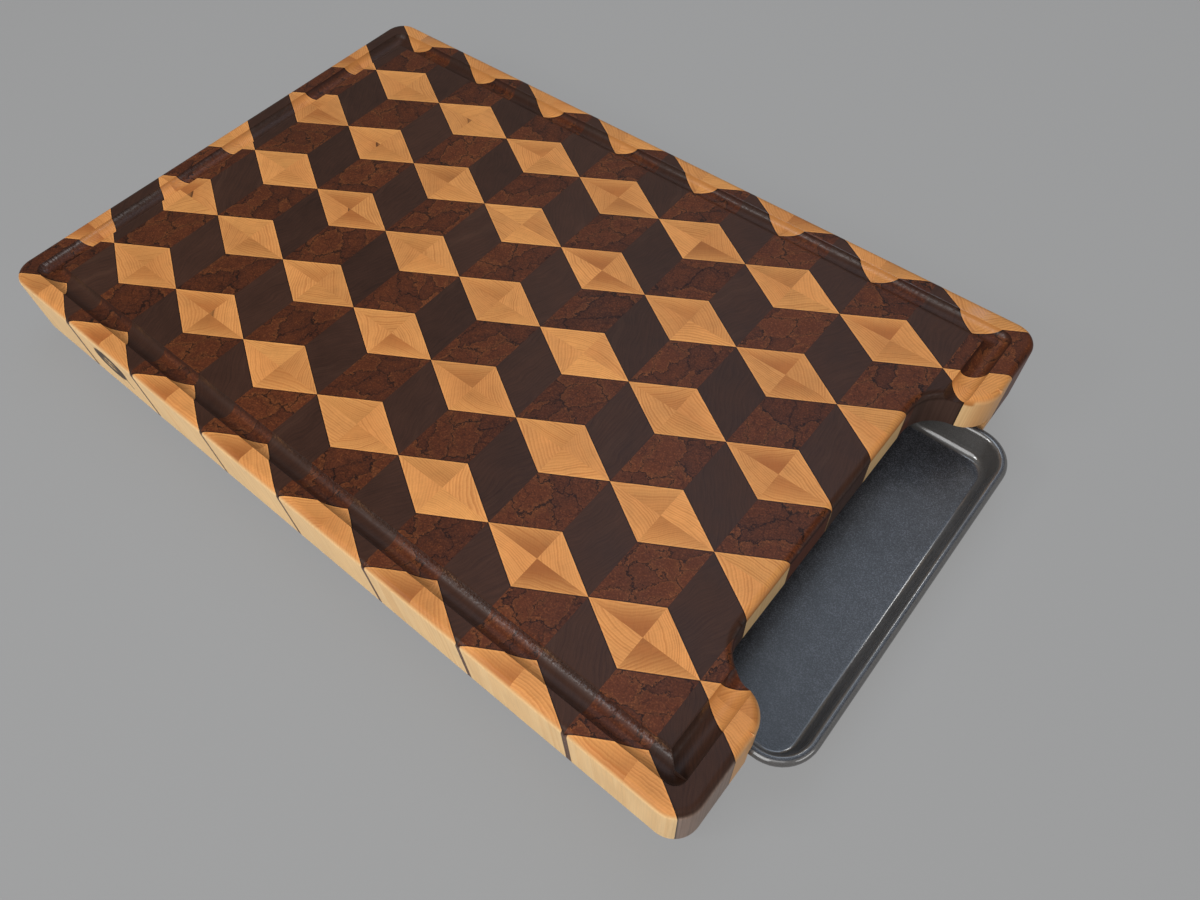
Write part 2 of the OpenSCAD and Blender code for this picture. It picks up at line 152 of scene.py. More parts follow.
class Graph:
    """A node graph: the nodes of one material or of the world."""

    def __init__(self, owner: Union[bpy.types.Material, bpy.types.World]) -> None:
        """Clear the owner's nodes.

        Args:
            owner: The material or world that the graph belongs to.
        """
        owner.use_nodes = True
        self.owner = owner
        self.tree = owner.node_tree
        self.tree.nodes.clear()

    @classmethod
    def material(cls, name: str) -> "Graph":
        """Start a new material."""
        return cls(bpy.data.materials.new(name))

    def add(
        self,
        kind: str,
        settings: Optional[Dict[str, Any]] = None,
        sockets: Optional[Dict[Union[str, int], Any]] = None,
    ) -> bpy.types.Node:
        """Add a node of any kind.

        Args:
            kind: Blender's name of the node type.
            settings: The node's own settings, which are set first.
            sockets: Values or wires for its inputs, by name or number.

        Returns:
            The new node.
        """
        node = self.tree.nodes.new(kind)
        for name, value in (settings or {}).items():
            setattr(node, name, value)
        for key, value in (sockets or {}).items():
            entry = node.inputs[key]
            if isinstance(value, Wire):
                self.tree.links.new(value.socket, entry)
            elif entry.type == "RGBA":
                entry.default_value = (*value, 1.0)
            else:
                entry.default_value = value
        return node

    def math(self, operation: str, *terms: Term) -> Wire:
        """Add a Math node.

        Args:
            operation: Blender's name of the operation.
            terms: Its inputs in order.

        Returns:
            The result.
        """
        node = self.add("ShaderNodeMath", {"operation": operation}, dict(enumerate(terms)))
        return Wire(self, node.outputs[0])

    def seen(self) -> Wire:
        """Tell the rays that show the surface from those that only light it.

        Returns:
            1 for rays that come from the camera, a mirror or glass, otherwise 0.
        """
        outs = self.add("ShaderNodeLightPath").outputs
        rays = ("Is Camera Ray", "Is Glossy Ray", "Is Transmission Ray")
        camera, mirror, glass = (Wire(self, outs[ray]) for ray in rays)
        return (camera + mirror + glass).least(1.0)

    def shader(self, kind: str, **sockets: Any) -> Wire:
        """Add a shader node, its inputs by name with _ for the spaces."""
        named = {name.replace("_", " "): value for name, value in sockets.items()}
        return Wire(self, self.add(kind, None, named).outputs[0])

    def parts(self, vector: bpy.types.NodeSocket) -> List[Wire]:
        """Split a vector into its three numbers."""
        node = self.add("ShaderNodeSeparateXYZ", None, {0: Wire(self, vector)})
        return [Wire(self, out) for out in node.outputs]

    def place(self) -> Tuple[Wire, Wire, Wire]:
        """Give the shaded point in the part's frame, in millimetres."""
        x, y, z = self.parts(self.add("ShaderNodeTexCoord").outputs["Object"])
        return x * MM, y * MM, z * MM

    def level(self) -> Wire:
        """Say how level the surface is: 1 facing up or down, 0 where it is upright."""
        return abs(self.parts(self.add("ShaderNodeTexCoord").outputs["Normal"])[2])

    def vector(self, terms: Sequence[Term]) -> Wire:
        """Join three terms into a vector."""
        node = self.add("ShaderNodeCombineXYZ", None, dict(enumerate(terms)))
        return Wire(self, node.outputs[0])

    def noise(self, terms: Sequence[Term], detail: float = 2.0, rough: float = 0.5) -> Wire:
        """Read smooth noise whose features are about one unit wide.

        Args:
            terms: The three coordinates, already scaled.
            detail: How many finer layers are added.
            rough: How strong each finer layer is beside the one before.

        Returns:
            A value near 0.5 that mostly stays between 0.25 and 0.75.
        """
        node = self.add(
            "ShaderNodeTexNoise",
            {"noise_dimensions": "3D"},
            {"Vector": self.vector(terms), "Scale": 1.0, "Detail": detail, "Roughness": rough},
        )
        return Wire(self, node.outputs[0])

    def chance(self, *terms: Term) -> Wire:
        """Draw an even random number from 0 to 1 that belongs to three terms."""
        node = self.add(
            "ShaderNodeTexWhiteNoise", {"noise_dimensions": "3D"}, {"Vector": self.vector(terms)}
        )
        return Wire(self, node.outputs["Value"])

    def cells(self, across: Wire, along: Wire) -> Tuple[Wire, Wire]:
        """Cut a plane into random cells that are about one unit wide.

        Args:
            across, along: The place in the plane, already scaled.

        Returns:
            The distance to the nearest border and a random number from 0 to 1 for the cell.
        """
        place = {"Vector": self.vector((across, along, 0.0)), "Scale": 1.0}
        kind, flat = "ShaderNodeTexVoronoi", {"voronoi_dimensions": "2D"}
        border = self.add(kind, {**flat, "feature": "DISTANCE_TO_EDGE"}, place)
        cell = self.add(kind, {**flat, "feature": "F1"}, place)
        return Wire(self, border.outputs["Distance"]), self.parts(cell.outputs["Color"])[0]

    def blend(self, share: Term, first: Tint, second: Tint) -> Wire:
        """Mix two colours.

        Args:
            share: How much of the second colour shows, from 0 to 1.
            first: The colour at 0.
            second: The colour at 1.

        Returns:
            The mixed colour.
        """
        # The node's colours are its inputs 6 and 7 and its output 2.
        node = self.add(
            "ShaderNodeMix",
            {"data_type": "RGBA", "clamp_factor": True},
            {0: share, 6: first, 7: second},
        )
        return Wire(self, node.outputs[2])

    def shade(self, colour: Tint, level: Term) -> Wire:
        """Make a colour lighter or darker by a factor."""
        node = self.add("ShaderNodeVectorMath", {"operation": "SCALE"}, {0: colour, "Scale": level})
        return Wire(self, node.outputs[0])

    def bump(self, height: Wire) -> Wire:
        """Raise the surface by a height in millimetres and give the new normal."""
        node = self.add("ShaderNodeBump", None, {"Distance": 1.0 / MM, "Height": height})
        return Wire(self, node.outputs[0])

    def surface(self, **sockets: Any) -> bpy.types.Material:
        """Finish the material with a Principled shader.

        Args:
            sockets: The shader's inputs, with _ for the spaces in their names.

        Returns:
            The finished material.
        """
        shader = self.shader("ShaderNodeBsdfPrincipled", **sockets)
        self.add("ShaderNodeOutputMaterial", None, {"Surface": shader})
        return self.owner


@dataclass(frozen=True)
class Noise:
    """Smooth noise: its features per unit along three axes, and its finer layers.

    seed says how far apart two pieces of wood read it along the third axis.
    """

    rate: Tuple[float, float, float]
    detail: float = 2.0
    rough: float = 0.5
    seed: float = 0.0

    MIDDLE = 0.5

    def read(self, place: Sequence[Term], mark: Optional[Wire] = None) -> Wire:
        """Read the noise.

        Args:
            place: Three coordinates, of which the first is a wire.
            mark: The random number of the piece of wood, where pieces differ.

        Returns:
            A value near 0.5 that mostly stays between 0.25 and 0.75.
        """
        terms = [term * rate for term, rate in zip(place, self.rate)]
        if mark is not None:
            terms[2] = mark * self.seed + terms[2]
        return place[0].graph.noise(terms, self.detail, self.rough)

    def around(self, place: Sequence[Term], mark: Optional[Wire] = None) -> Wire:
        """Read the noise with its middle moved to 0."""
        return self.read(place, mark) - self.MIDDLE


def weigh(values: Dict[str, Wire], shares: Dict[str, float]) -> Wire:
    """Add up named values, each times its share."""
    first, *others = (values[name] * share for name, share in shares.items())
    return sum(others, first)


class Lean(Enum):
    """Which way a stick's diamond block leans, seen from above."""

    RISING = 1.0
    FALLING = -1.0


@dataclass(frozen=True)
class Sticks:
    """How the board's sticks are set out, in millimetres.

    Each stick is a slanted diamond block with a right-angled wedge below and above it. Sticks stand
    in columns along the board's length and in rows across it, and their leans alternate. shift is
    how far the board's middle lies behind the frame's. inside keeps its outer faces in the last
    sticks. joint is where the dark glue line fades in.
    """

    wide: float = 31.75
    columns: int = 16
    rows: int = 6
    slant: float = math.radians(30.0)
    shift: float = 11.7
    inside: float = 0.9999
    joint: Span = (0.85, 0.25)

    @property
    def edge(self) -> float:
        """Length of a diamond's side."""
        return self.wide / math.cos(self.slant)

    @property
    def tall(self) -> float:
        """Length of a stick across the board."""
        return self.edge + self.wide * math.tan(self.slant)

    @property
    def half_length(self) -> float:
        """Half of the board's length."""
        return self.wide * self.columns / 2.0

    @property
    def half_width(self) -> float:
        """Half of the board's width."""
        return self.tall * self.rows / 2.0


STICKS = Sticks()


@dataclass(frozen=True)
class Groove:
    """The juice groove, the wear on its edges and the wax left in it, in millimetres.

    A span goes from where something is absent to where it is full. Wax grows along the long sides
    towards the front, and across the board towards its right side.
    """

    inset: float = 17.5
    radius: float = 6.5
    depth: float = 5.2
    wall_z: Span = (47.5, 49.5)
    brim: float = 0.8
    brim_drop: float = 0.1
    lip_drop: float = 0.9
    lip_fade: float = 20.0
    wax_along: Span = (-232.0, 150.0)
    wax_rear: float = 0.3
    wax_ends: float = 0.27
    wax_across: Span = (120.0, -120.0)
    wax_left: float = 0.1
    wax_lip: float = 0.9
    wax_level: float = 0.8
    wax_streak: float = 6.0

    @property
    def half(self) -> float:
        """Half of its width at the cutting face."""
        return math.sqrt(self.radius**2 - (self.radius - self.depth) ** 2)

    @property
    def inner_x(self) -> float:
        """Distance from the board's middle to the inner edge along the length."""
        return STICKS.half_length - self.inset - self.half

    @property
    def inner_y(self) -> float:
        """Distance from the board's middle to the inner edge across the width."""
        return STICKS.half_width - self.inset - self.half

    @property
    def outer_y(self) -> float:
        """Distance from the board's middle to the outer edge across the width."""
        return STICKS.half_width - self.inset + self.half


GROOVE = Groove()


class StickPoint:
    """Where a shaded point lies in the board and in its own stick, in millimetres."""

    # How level a face is where side grain turns to end grain, and where it counts as upright.
    END_LEVEL = (0.3, 0.9)
    UPRIGHT_LEVEL = (0.85, 0.2)
    # An upright face is the board's own this near to its outline, or the notch's below this height.
    OUTER_REACH = (9.0, 7.0)
    NOTCH_Z = (50.5, 48.5)
    # Where the corners beside the notch lie along the board and away from its middle line.
    # Their side grain gets painted shade, darker and warmer.
    CORNER_X = (200.0, 212.0)
    CORNER_INNER = (98.0, 104.0)
    CORNER_OUTER = (162.0, 156.0)

    def __init__(self, graph: Graph, lean: Lean) -> None:
        """Work out the stick's column and row and the place inside it.

        u runs across the stick and v along it from its middle, turned so that every block rises.
        Falling sticks are mirrored. e is the distance from the block's slanted middle line.

        Args:
            graph: The graph that the point is read in.
            lean: Which sticks the material is for.
        """
        self.graph = graph
        self.place = graph.place()
        self.x, self.y, self.z = self.place
        column = ((self.x + STICKS.shift) * STICKS.inside + STICKS.half_length) / STICKS.wide
        row = (STICKS.half_width - self.y * STICKS.inside) / STICKS.tall
        self.column = column.floor()
        self.row = row.floor()
        self.u = (column.frac() - 0.5) * (STICKS.wide * lean.value)
        self.v = (0.5 - row.frac()) * STICKS.tall
        self.e = (self.v - self.u * math.tan(STICKS.slant)) * math.cos(STICKS.slant)
        self.piece: Term = 0.0
        self.find_faces()

    def find_faces(self) -> None:
        """Say how much the point lies on each kind of face, from 0 to 1."""
        level, away = self.graph.level(), abs(self.y)
        length = abs(self.x + STICKS.shift)
        reach = (STICKS.half_length - length).least(STICKS.half_width - away)
        self.end_grain = level.step(*self.END_LEVEL)
        self.outer = reach.step(*self.OUTER_REACH)
        wall = (1.0 - self.end_grain) * self.z.step(*GROOVE.wall_z)
        self.groove = wall * (1.0 - self.outer)
        sides = (self.outer + self.z.step(*self.NOTCH_Z)).least(1.0)
        self.upright = level.step(*self.UPRIGHT_LEVEL) * sides
        side, end = GROOVE.inner_y - away, GROOVE.inner_x - length
        self.brim = side.least(end).step(0.0, GROOVE.brim)
        self.long_run = side < end
        lip = (self.y - GROOVE.outer_y).step(0.0, GROOVE.brim)
        self.lip = lip * end.step(0.0, GROOVE.lip_fade)
        # Where the notch's corners lie; their side grain gets painted shade.
        corner = away.step(*self.CORNER_INNER) * away.step(*self.CORNER_OUTER)
        self.notch_corner_shade = self.x.step(*self.CORNER_X) * corner

    def chance(self, number: int) -> Wire:
        """Draw one of the random numbers of this stick's piece."""
        return self.graph.chance(self.column, self.row, self.piece + number)

    def joint(self) -> Wire:
        """Say how much of the dark glue joint along the block's slanted sides shows."""
        return (STICKS.wide / 2.0 - abs(self.e)).step(*STICKS.joint)

    def relief(self) -> Wire:
        """Height that rounds the juice groove's edges, in millimetres.

        The cutting face drops over the last part of a millimetre before the groove, and so does
        the border on its left side.

        Returns:
            The height.
        """
        return self.brim * GROOVE.brim_drop + self.lip * GROOVE.lip_drop

    def wax(self, streak: Wire) -> Wire:
        """Say how much wax shines in the groove and on its left border, in streaks.

        Args:
            streak: Noise around 0 that breaks the shine.

        Returns:
            The coat's weight.
        """
        along = self.x.step(*GROOVE.wax_along).within((GROOVE.wax_rear, 1.0))
        run = self.long_run * (along - GROOVE.wax_ends) + GROOVE.wax_ends
        across = self.y.step(*GROOVE.wax_across).within((GROOVE.wax_left, 1.0))
        lip = self.lip * (1.0 - self.lip) * GROOVE.wax_lip
        shine = self.groove * across * run + lip
        return shine * (streak * GROOVE.wax_streak + GROOVE.wax_level)


class WedgePoint(StickPoint):
    """A point in a wedge. The upper wedge is turned half round onto the lower one."""

    # What tells the upper wedge's draws from the lower one's.
    UPPER_PIECE = 0.5

    def __init__(self, graph: Graph, lean: Lean) -> None:
        """Work out the place in the wedge.

        tip is the distance from the sharp end along the straight leg, depth the distance in from
        the long slanted side, and run the distance along that side.

        Args:
            graph: The graph that the point is read in.
            lean: Which sticks the material is for.
        """
        super().__init__(graph, lean)
        upper = self.e > 0.0
        turn = 1.0 - 2.0 * upper
        sine, cosine = math.sin(STICKS.slant), math.cos(STICKS.slant)
        self.tip = self.u * turn + STICKS.wide / 2.0
        leg = self.v * turn + STICKS.tall / 2.0
        self.depth = self.tip * sine - leg * cosine
        self.run = self.tip * cosine + leg * sine
        self.piece = upper * self.UPPER_PIECE


@dataclass(frozen=True)
class Spot:
    """The dark heart of the tree in a wedge's inner corner, in millimetres.

    column and row count the sticks from the board's middle to the corner. side is 1 for the wedge
    towards +X and +Y of the corner and -1 for the one across from it.
    """

    column: int
    row: int
    side: float
    reach: float
    share: float

    FRAY = 0.6
    FADE = 4.0
    INSIDE = (-0.2, 0.1)
    EDGE = (1.15, 0.85)
    RIND = (0.3, 0.9)
    CORE_TO_RIND = (0.6, 1.0)
    STAIN = (3.0, 0.9)

    def marks(self, p: StickPoint, ragged: Wire) -> Tuple[Wire, Wire]:
        """Say how much of the heart and of the stain around it shows at a point.

        Args:
            p: The point.
            ragged: Noise around 0 that frays the edges.

        Returns:
            The heart and the stain, each from 0 to 1.
        """
        across = p.x + (STICKS.shift - self.column * STICKS.wide)
        along = p.y - self.row * STICKS.tall
        apart = across * across + along * along
        near = apart.step((self.FADE * self.reach) ** 2, self.reach**2)
        inward = (across + along) * (self.side * math.sqrt(0.5))
        shown = inward.step(*self.INSIDE) * near * self.share
        away = inward / self.reach + ragged * self.FRAY
        heart = away.step(*self.EDGE) * away.step(*self.RIND).within(self.CORE_TO_RIND)
        return heart * shown, away.step(*self.STAIN) * shown


@dataclass(frozen=True)
class BarkEye:
    """An eye-shaped bark pocket on the board's right side, in millimetres in the part's frame."""

    x: float = -169.5
    z: float = 38.5
    half_long: float = 12.5
    half_high: float = 8.5
    rim: float = 0.8
    rim_edge: Span = (0.75, 0.4)
    rim_fray: float = 0.9
    vein_lean: float = 0.3
    vein_fray: float = 0.7
    vein_edge: Span = (0.3, 0.12)
    vein_end: Span = (1.1, 0.7)
    tail_x: float = -158.5
    tail_top: float = 37.0
    tail_foot: Span = (25.5, 26.5)
    tail_lean: float = 0.3
    tail_edge: Span = (1.2, 0.6)
    skin: Span = (2.5, 1.0)
    share: float = 0.95
    tint: Colour = srgb(40, 27, 29)

    def shown(self, p: StickPoint, ragged: Wire) -> Wire:
        """Say how much of the bark shows at a point.

        The squares of the distances from the pocket's middle, each over its half size, add to
        about 0.8 on its rim. A dark line runs down its middle and a thin tail out of its front end.

        Args:
            p: The point.
            ragged: Noise around 0 that frays the rim.

        Returns:
            Most on the rim, the middle line and the tail, 0 elsewhere.
        """
        across, up = (p.x - self.x) / self.half_long, (p.z - self.z) / self.half_high
        ring = across * across + up * up + ragged * self.rim_fray
        rim = abs(ring - self.rim).step(*self.rim_edge)
        vein = abs(up + across * self.vein_lean + ragged * self.vein_fray).step(*self.vein_edge)
        lean = p.x - self.tail_x - (self.tail_top - p.z) * self.tail_lean
        tail = abs(lean + ragged).step(*self.tail_edge) * (p.z < self.tail_top)
        bark = rim + vein * ring.step(*self.vein_end) + tail * p.z.step(*self.tail_foot)
        return bark.least(1.0) * (p.y + STICKS.half_width).step(*self.skin) * self.share


@dataclass(frozen=True)
class OiledWood:
    """What the three oiled woods share: a dull gloss, and wax in the juice groove.

    In the subclasses a Noise is read at the point, a pair of numbers is drawn from or stepped over,
    and shares say how much of each part of the figure goes into the tone, the gloss and the grain.
    """

    name: str
    lean: Lean
    # Colour of the groove walls and of the turn of the rounded edges: a darker copy of the side
    # grain, painted shade.
    groove: Colour
    flank: Colour

    GLOSS = 0.42
    SPECULAR = 0.12
    WAX_ROUGHNESS = 0.24
    WAX_IOR = 3.0
    RING_SEED = 64.0
    BOARD_NOISE: ClassVar[Dict[str, Noise]]
    GLOSS_SHARES: ClassVar[Dict[str, float]]
    GRAIN_SHARES: ClassVar[Dict[str, float]]

    def board_noise(self, p: StickPoint) -> Dict[str, Wire]:
        """Read the noises that run on through the whole board, each around 0."""
        return {name: noise.around(p.place) for name, noise in self.BOARD_NOISE.items()}

    def ring_chance(self, ring: Wire, mark: Wire) -> Wire:
        """Draw a random number for a growth ring of a piece."""
        return ring.graph.chance(ring.floor(), mark * self.RING_SEED, 0.0)

    def finish(self, p: StickPoint, wood: Wire, figure: Dict[str, Wire]) -> bpy.types.Material:
        """Finish the material.

        Args:
            p: The point.
            wood: The wood's colour there.
            figure: The parts of the wood's figure by name.

        Returns:
            The material.
        """
        return p.graph.surface(
            Base_Color=wood,
            Roughness=weigh(figure, self.GLOSS_SHARES) + self.GLOSS,
            Normal=p.graph.bump(weigh(figure, self.GRAIN_SHARES) + p.relief()),
            Coat_Weight=p.wax(figure["streak"]),
            Coat_Roughness=self.WAX_ROUGHNESS,
            Coat_IOR=self.WAX_IOR,
            Specular_IOR_Level=self.SPECULAR,
        )


@dataclass(frozen=True)
class MapleWedge(OiledWood):
    """Oiled maple wedges: growth rings along the long side, cream flanks and fine rays."""

    flank_line: Colour
    early: Colour
    late: Colour
    heart: Colour
    heart_share: Span
    # Darker, warmer side grain for the notch's corners: painted shade.
    corner: Colour = srgb(218, 160, 104)
    pith: Colour = srgb(62, 34, 18)
    next_block: Colour = srgb(104, 78, 66)
    spots: Tuple[Spot, ...] = ()
    bark: BarkEye = BarkEye()

    # Drawn for each wedge: its rings' tilt, bend and width in millimetres, and its tone.
    TILT = (-0.65, 0.65)
    BEND = (-0.015, 0.015)
    RING = (1.15, 1.95)
    TONE = (0.9, 1.12)
    # How the rings stray in millimetres, where a ring darkens and ends, and how dark it gets.
    WAVE = Noise((0.1, 0.1, 0.006), seed=50.0)
    WAVE_REACH = 3.0
    DRIFT = Noise((0.3, 90.0, 0.0), 1.0)
    DRIFT_REACH = 1.6
    DARKENS = (0.1, 0.8)
    ENDS = (0.85, 1.0)
    WEIGHT = (0.3, 1.0)
    RAYS = Noise((2.6, 0.22, 0.03), seed=70.0)
    PATCH = Noise((0.16, 0.09, 0.0), seed=30.0)
    BOARD_NOISE = {
        "pores": Noise((4.0, 4.0, 0.25), 2.0, 0.7),
        "cloud": Noise((0.05, 0.05, 0.05)),
        "streak": Noise((1.6, 1.6, 0.035), 3.0, 0.6),
    }
    # How much of each colour shows, and how far in from the long side.
    LATE_SHARE = 0.72
    INWARD = (-0.35, 0.75)
    INWARD_PATCH = 0.5
    RIM = (1.1, 0.3)
    RIM_LIGHT = 0.13
    # How much painted shade the side grain at the notch's corners gets.
    CORNER_SHADE_SHARE = 0.8
    FLANK_LINE_SHARE = 0.5
    GROOVE_STREAK = 0.4
    STAIN_SHARE = 0.5
    # The trim strip's width in millimetres and its growth, soft edge, depth and tone.
    STRIP_LEAST = 1.15
    STRIP_GROWTH = 1.5e-5
    STRIP_EDGE = (-0.15, 0.15)
    STRIP_SKIN = 3.5
    STRIP_TONE = 0.9
    TONE_SHARES = {"cloud": 0.2, "patch": 0.34, "rays": 0.26, "pores": 0.16}
    FLANK_SHARES = {"streak": 0.3, "cloud": 0.2}
    SPOT_FRAY = {"wave": 1.2, "pores": 0.5}
    BARK_FRAY = {"streak": 1.0, "pores": 0.5}
    GLOSS_SHARES = {"cloud": 0.15, "line": 0.06}
    GRAIN_SHARES = {"line": -0.004, "pores": 0.012, "rays": 0.006, "scratch": 0.02}

    def figure(self, p: WedgePoint) -> Dict[str, Wire]:
        """Read the wood's figure.

        The ring number is the depth from the long side, tilted, bent and waved by amounts drawn
        for each wedge, over the ring width. Each ring darkens slowly and ends sharply.

        Args:
            p: The point.

        Returns:
            The dark line of a ring from 0 to 1, and noise around 0, by name.
        """
        tilt, bend = p.chance(1).within(self.TILT), p.chance(2).within(self.BEND)
        mark = p.chance(4)
        middle = p.run - STICKS.edge / 2.0
        wave = self.WAVE.around((p.depth, p.run, p.z), mark)
        ring_run = p.depth + middle * (tilt + middle * bend) + wave * self.WAVE_REACH
        drift = self.DRIFT.around((ring_run, mark, 0.0)) * self.DRIFT_REACH
        ring = (ring_run + drift) / p.chance(3).within(self.RING)
        turn = ring.frac()
        line = turn.step(*self.DARKENS) - turn.step(*self.ENDS)
        figure = self.board_noise(p)
        return {
            **figure,
            "line": line * self.ring_chance(ring, mark).within(self.WEIGHT),
            "wave": wave,
            "rays": self.RAYS.around((p.run, p.depth, p.z), mark),
            "patch": self.PATCH.around((p.depth, p.run, 0.0), mark),
            "scratch": (1.0 - p.end_grain) * figure["streak"],
        }

    def end_face(self, p: WedgePoint, figure: Dict[str, Wire]) -> Wire:
        """Colour the end grain, which darkens inward by an amount drawn for each wedge.

        Args:
            p: The point.
            figure: The wood's figure there.

        Returns:
            The colour.
        """
        g = p.graph
        wood = g.blend(figure["line"] * self.LATE_SHARE, self.early, self.late)
        inward = p.depth / (STICKS.wide / 2.0) + figure["patch"] * self.INWARD_PATCH
        share = inward.step(*self.INWARD) * p.chance(5).within(self.heart_share)
        wood = g.blend(share, wood, self.heart)
        level = p.chance(6).within(self.TONE) + weigh(figure, self.TONE_SHARES)
        return g.shade(wood, level + p.depth.step(*self.RIM) * self.RIM_LIGHT)

    def side_face(self, p: WedgePoint, figure: Dict[str, Wire]) -> Wire:
        """Colour the side grain, with painted shade that makes it darker and warmer at the corners
        beside the notch.

        Args:
            p: The point.
            figure: The wood's figure there.

        Returns:
            The colour.
        """
        g = p.graph
        flank = g.blend(figure["line"] * self.FLANK_LINE_SHARE, self.flank, self.flank_line)
        # Painted shade on the side grain at the notch's corners.
        flank = g.blend(p.notch_corner_shade * self.CORNER_SHADE_SHARE, flank, self.corner)
        return g.shade(flank, weigh(figure, self.FLANK_SHARES) + 1.0)

    def add_marks(self, p: WedgePoint, figure: Dict[str, Wire], wood: Wire) -> Wire:
        """Add the hearts, the bark and the trim strips.

        The board was trimmed a little askew, so a strip of the next block shows at each wedge's
        sharp end. It grows with the square of the distance from the frame's middle in X.

        Args:
            p: The point.
            figure: The wood's figure there.
            wood: The colour without them.

        Returns:
            The colour with them.
        """
        g = p.graph
        for spot in self.spots:
            heart, stain = spot.marks(p, weigh(figure, self.SPOT_FRAY))
            wood = g.blend(stain * self.STAIN_SHARE, wood, self.heart)
            wood = g.blend(heart, wood, self.pith)
        trim = p.x * p.x * self.STRIP_GROWTH + self.STRIP_LEAST
        strip = (trim - p.tip).step(*self.STRIP_EDGE)
        strip = strip * (abs(p.y) > STICKS.half_width - self.STRIP_SKIN)
        tone = figure["streak"] + self.STRIP_TONE
        wood = g.blend(strip, wood, g.shade(self.next_block, tone))
        bark = self.bark.shown(p, weigh(figure, self.BARK_FRAY))
        return g.blend(bark, wood, self.bark.tint)

    def make(self) -> bpy.types.Material:
        """Make the material.

        Returns:
            The material.
        """
        g = Graph.material(self.name)
        p = WedgePoint(g, self.lean)
        figure = self.figure(p)
        # The groove walls and the turn of the rounded edges take the groove colour, painted shade,
        # with streaks.
        shaded_trough = g.shade(self.groove, figure["streak"] * self.GROOVE_STREAK + 1.0)
        wood = g.blend(p.end_grain, shaded_trough, self.end_face(p, figure))
        wood = g.blend(p.upright, wood, self.side_face(p, figure))
        return self.finish(p, self.add_marks(p, figure, wood), figure)


@dataclass(frozen=True)
class WalnutBlock(OiledWood):
    """Oiled walnut end grain: faint growth lines, pores and a rare thin paler streak."""

    base: Colour
    pale: Colour
    line: Colour
    # Darker copy of the side grain for the notch's faces: painted shade.
    notch: Colour
    joint: Colour

    # Drawn for each block: its growth lines' turn and spacing in millimetres, and its tone.
    TURN = (-0.8, 0.8)
    RING = (1.5, 3.1)
    TONE = (0.9, 1.2)
    # How the lines stray in millimetres, where a line darkens, and how dark it gets.
    WAVE = Noise((0.05, 0.05, 0.004), 1.0, seed=60.0)
    WAVE_REACH = 12.0
    DRIFT = Noise((0.25, 80.0, 0.0), 1.0)
    DRIFT_REACH = 3.0
    DARKENS = (0.3, 0.95)
    WEIGHT = (0.3, 1.0)
    FIBRE = Noise((1.6, 0.12, 0.0), 3.0, 0.6, 40.0)
    BAND = Noise((0.12, 0.02, 0.0), 1.0, seed=20.0)
    BAND_EDGE = (0.58, 0.75)
    BOARD_NOISE = {
        "pores": Noise((3.2, 3.2, 0.15), 2.0, 0.7),
        "cloud": Noise((0.05, 0.05, 0.03), 3.0, 0.6),
        "streak": Noise((1.4, 1.4, 0.03), 3.0, 0.6),
    }
    LINE_SHARE = 0.32
    BAND_SHARE = 0.16
    JOINT_SHARE = 0.8
    TONE_SHARES = {"cloud": 0.7, "fibre": 0.9, "pores": 0.9}
    FLANK_SHARES = {"streak": 0.7, "line": -0.2}
    GLOSS_SHARES = {"cloud": 0.15, "pores": -0.15, "scratch": 0.3}
    GRAIN_SHARES = {"line": -0.004, "pores": 0.016, "fibre": 0.008, "scratch": 0.12}

    def figure(self, p: StickPoint) -> Dict[str, Wire]:
        """Read the wood's figure.

        Growth lines run along the stick, turned and bent by amounts drawn for each block.

        Args:
            p: The point.

        Returns:
            The lines and the paler band from 0 to 1, and noise around 0, by name.
        """
        mark = p.chance(2)
        wave = self.WAVE.around((p.u, p.v, p.z), mark) * self.WAVE_REACH
        ring_run = p.u + p.v * p.chance(1).within(self.TURN) + wave
        drift = self.DRIFT.around((ring_run, mark, 0.0)) * self.DRIFT_REACH
        ring = (ring_run + drift) / p.chance(3).within(self.RING)
        line = ring.frac().step(*self.DARKENS)
        figure = self.board_noise(p)
        return {
            **figure,
            "line": line * self.ring_chance(ring, mark).within(self.WEIGHT),
            "band": self.BAND.read((ring_run, p.v, 0.0), mark).step(*self.BAND_EDGE),
            "fibre": self.FIBRE.around((ring_run, p.v, 0.0), mark),
            "scratch": p.groove * figure["streak"],
        }

    def make(self) -> bpy.types.Material:
        """Make the material.

        Returns:
            The material.
        """
        g = Graph.material(self.name)
        p = StickPoint(g, self.lean)
        figure = self.figure(p)
        wood = g.blend(figure["line"] * self.LINE_SHARE, self.base, self.line)
        wood = g.blend(figure["band"] * self.BAND_SHARE, wood, self.pale)
        tone = p.chance(4).within(self.TONE)
        wood = g.shade(wood, tone + weigh(figure, self.TONE_SHARES))
        # Groove walls and notch faces take darker copies of the side grain, which are painted
        # shade.
        flank = g.blend(p.upright, self.groove, g.blend(p.outer, self.notch, self.flank))
        flank = g.shade(flank, weigh(figure, self.FLANK_SHARES) + 1.0)
        wood = g.blend(p.end_grain, flank, wood)
        wood = g.blend(p.joint() * self.JOINT_SHARE, wood, self.joint)
        return self.finish(p, wood, figure)


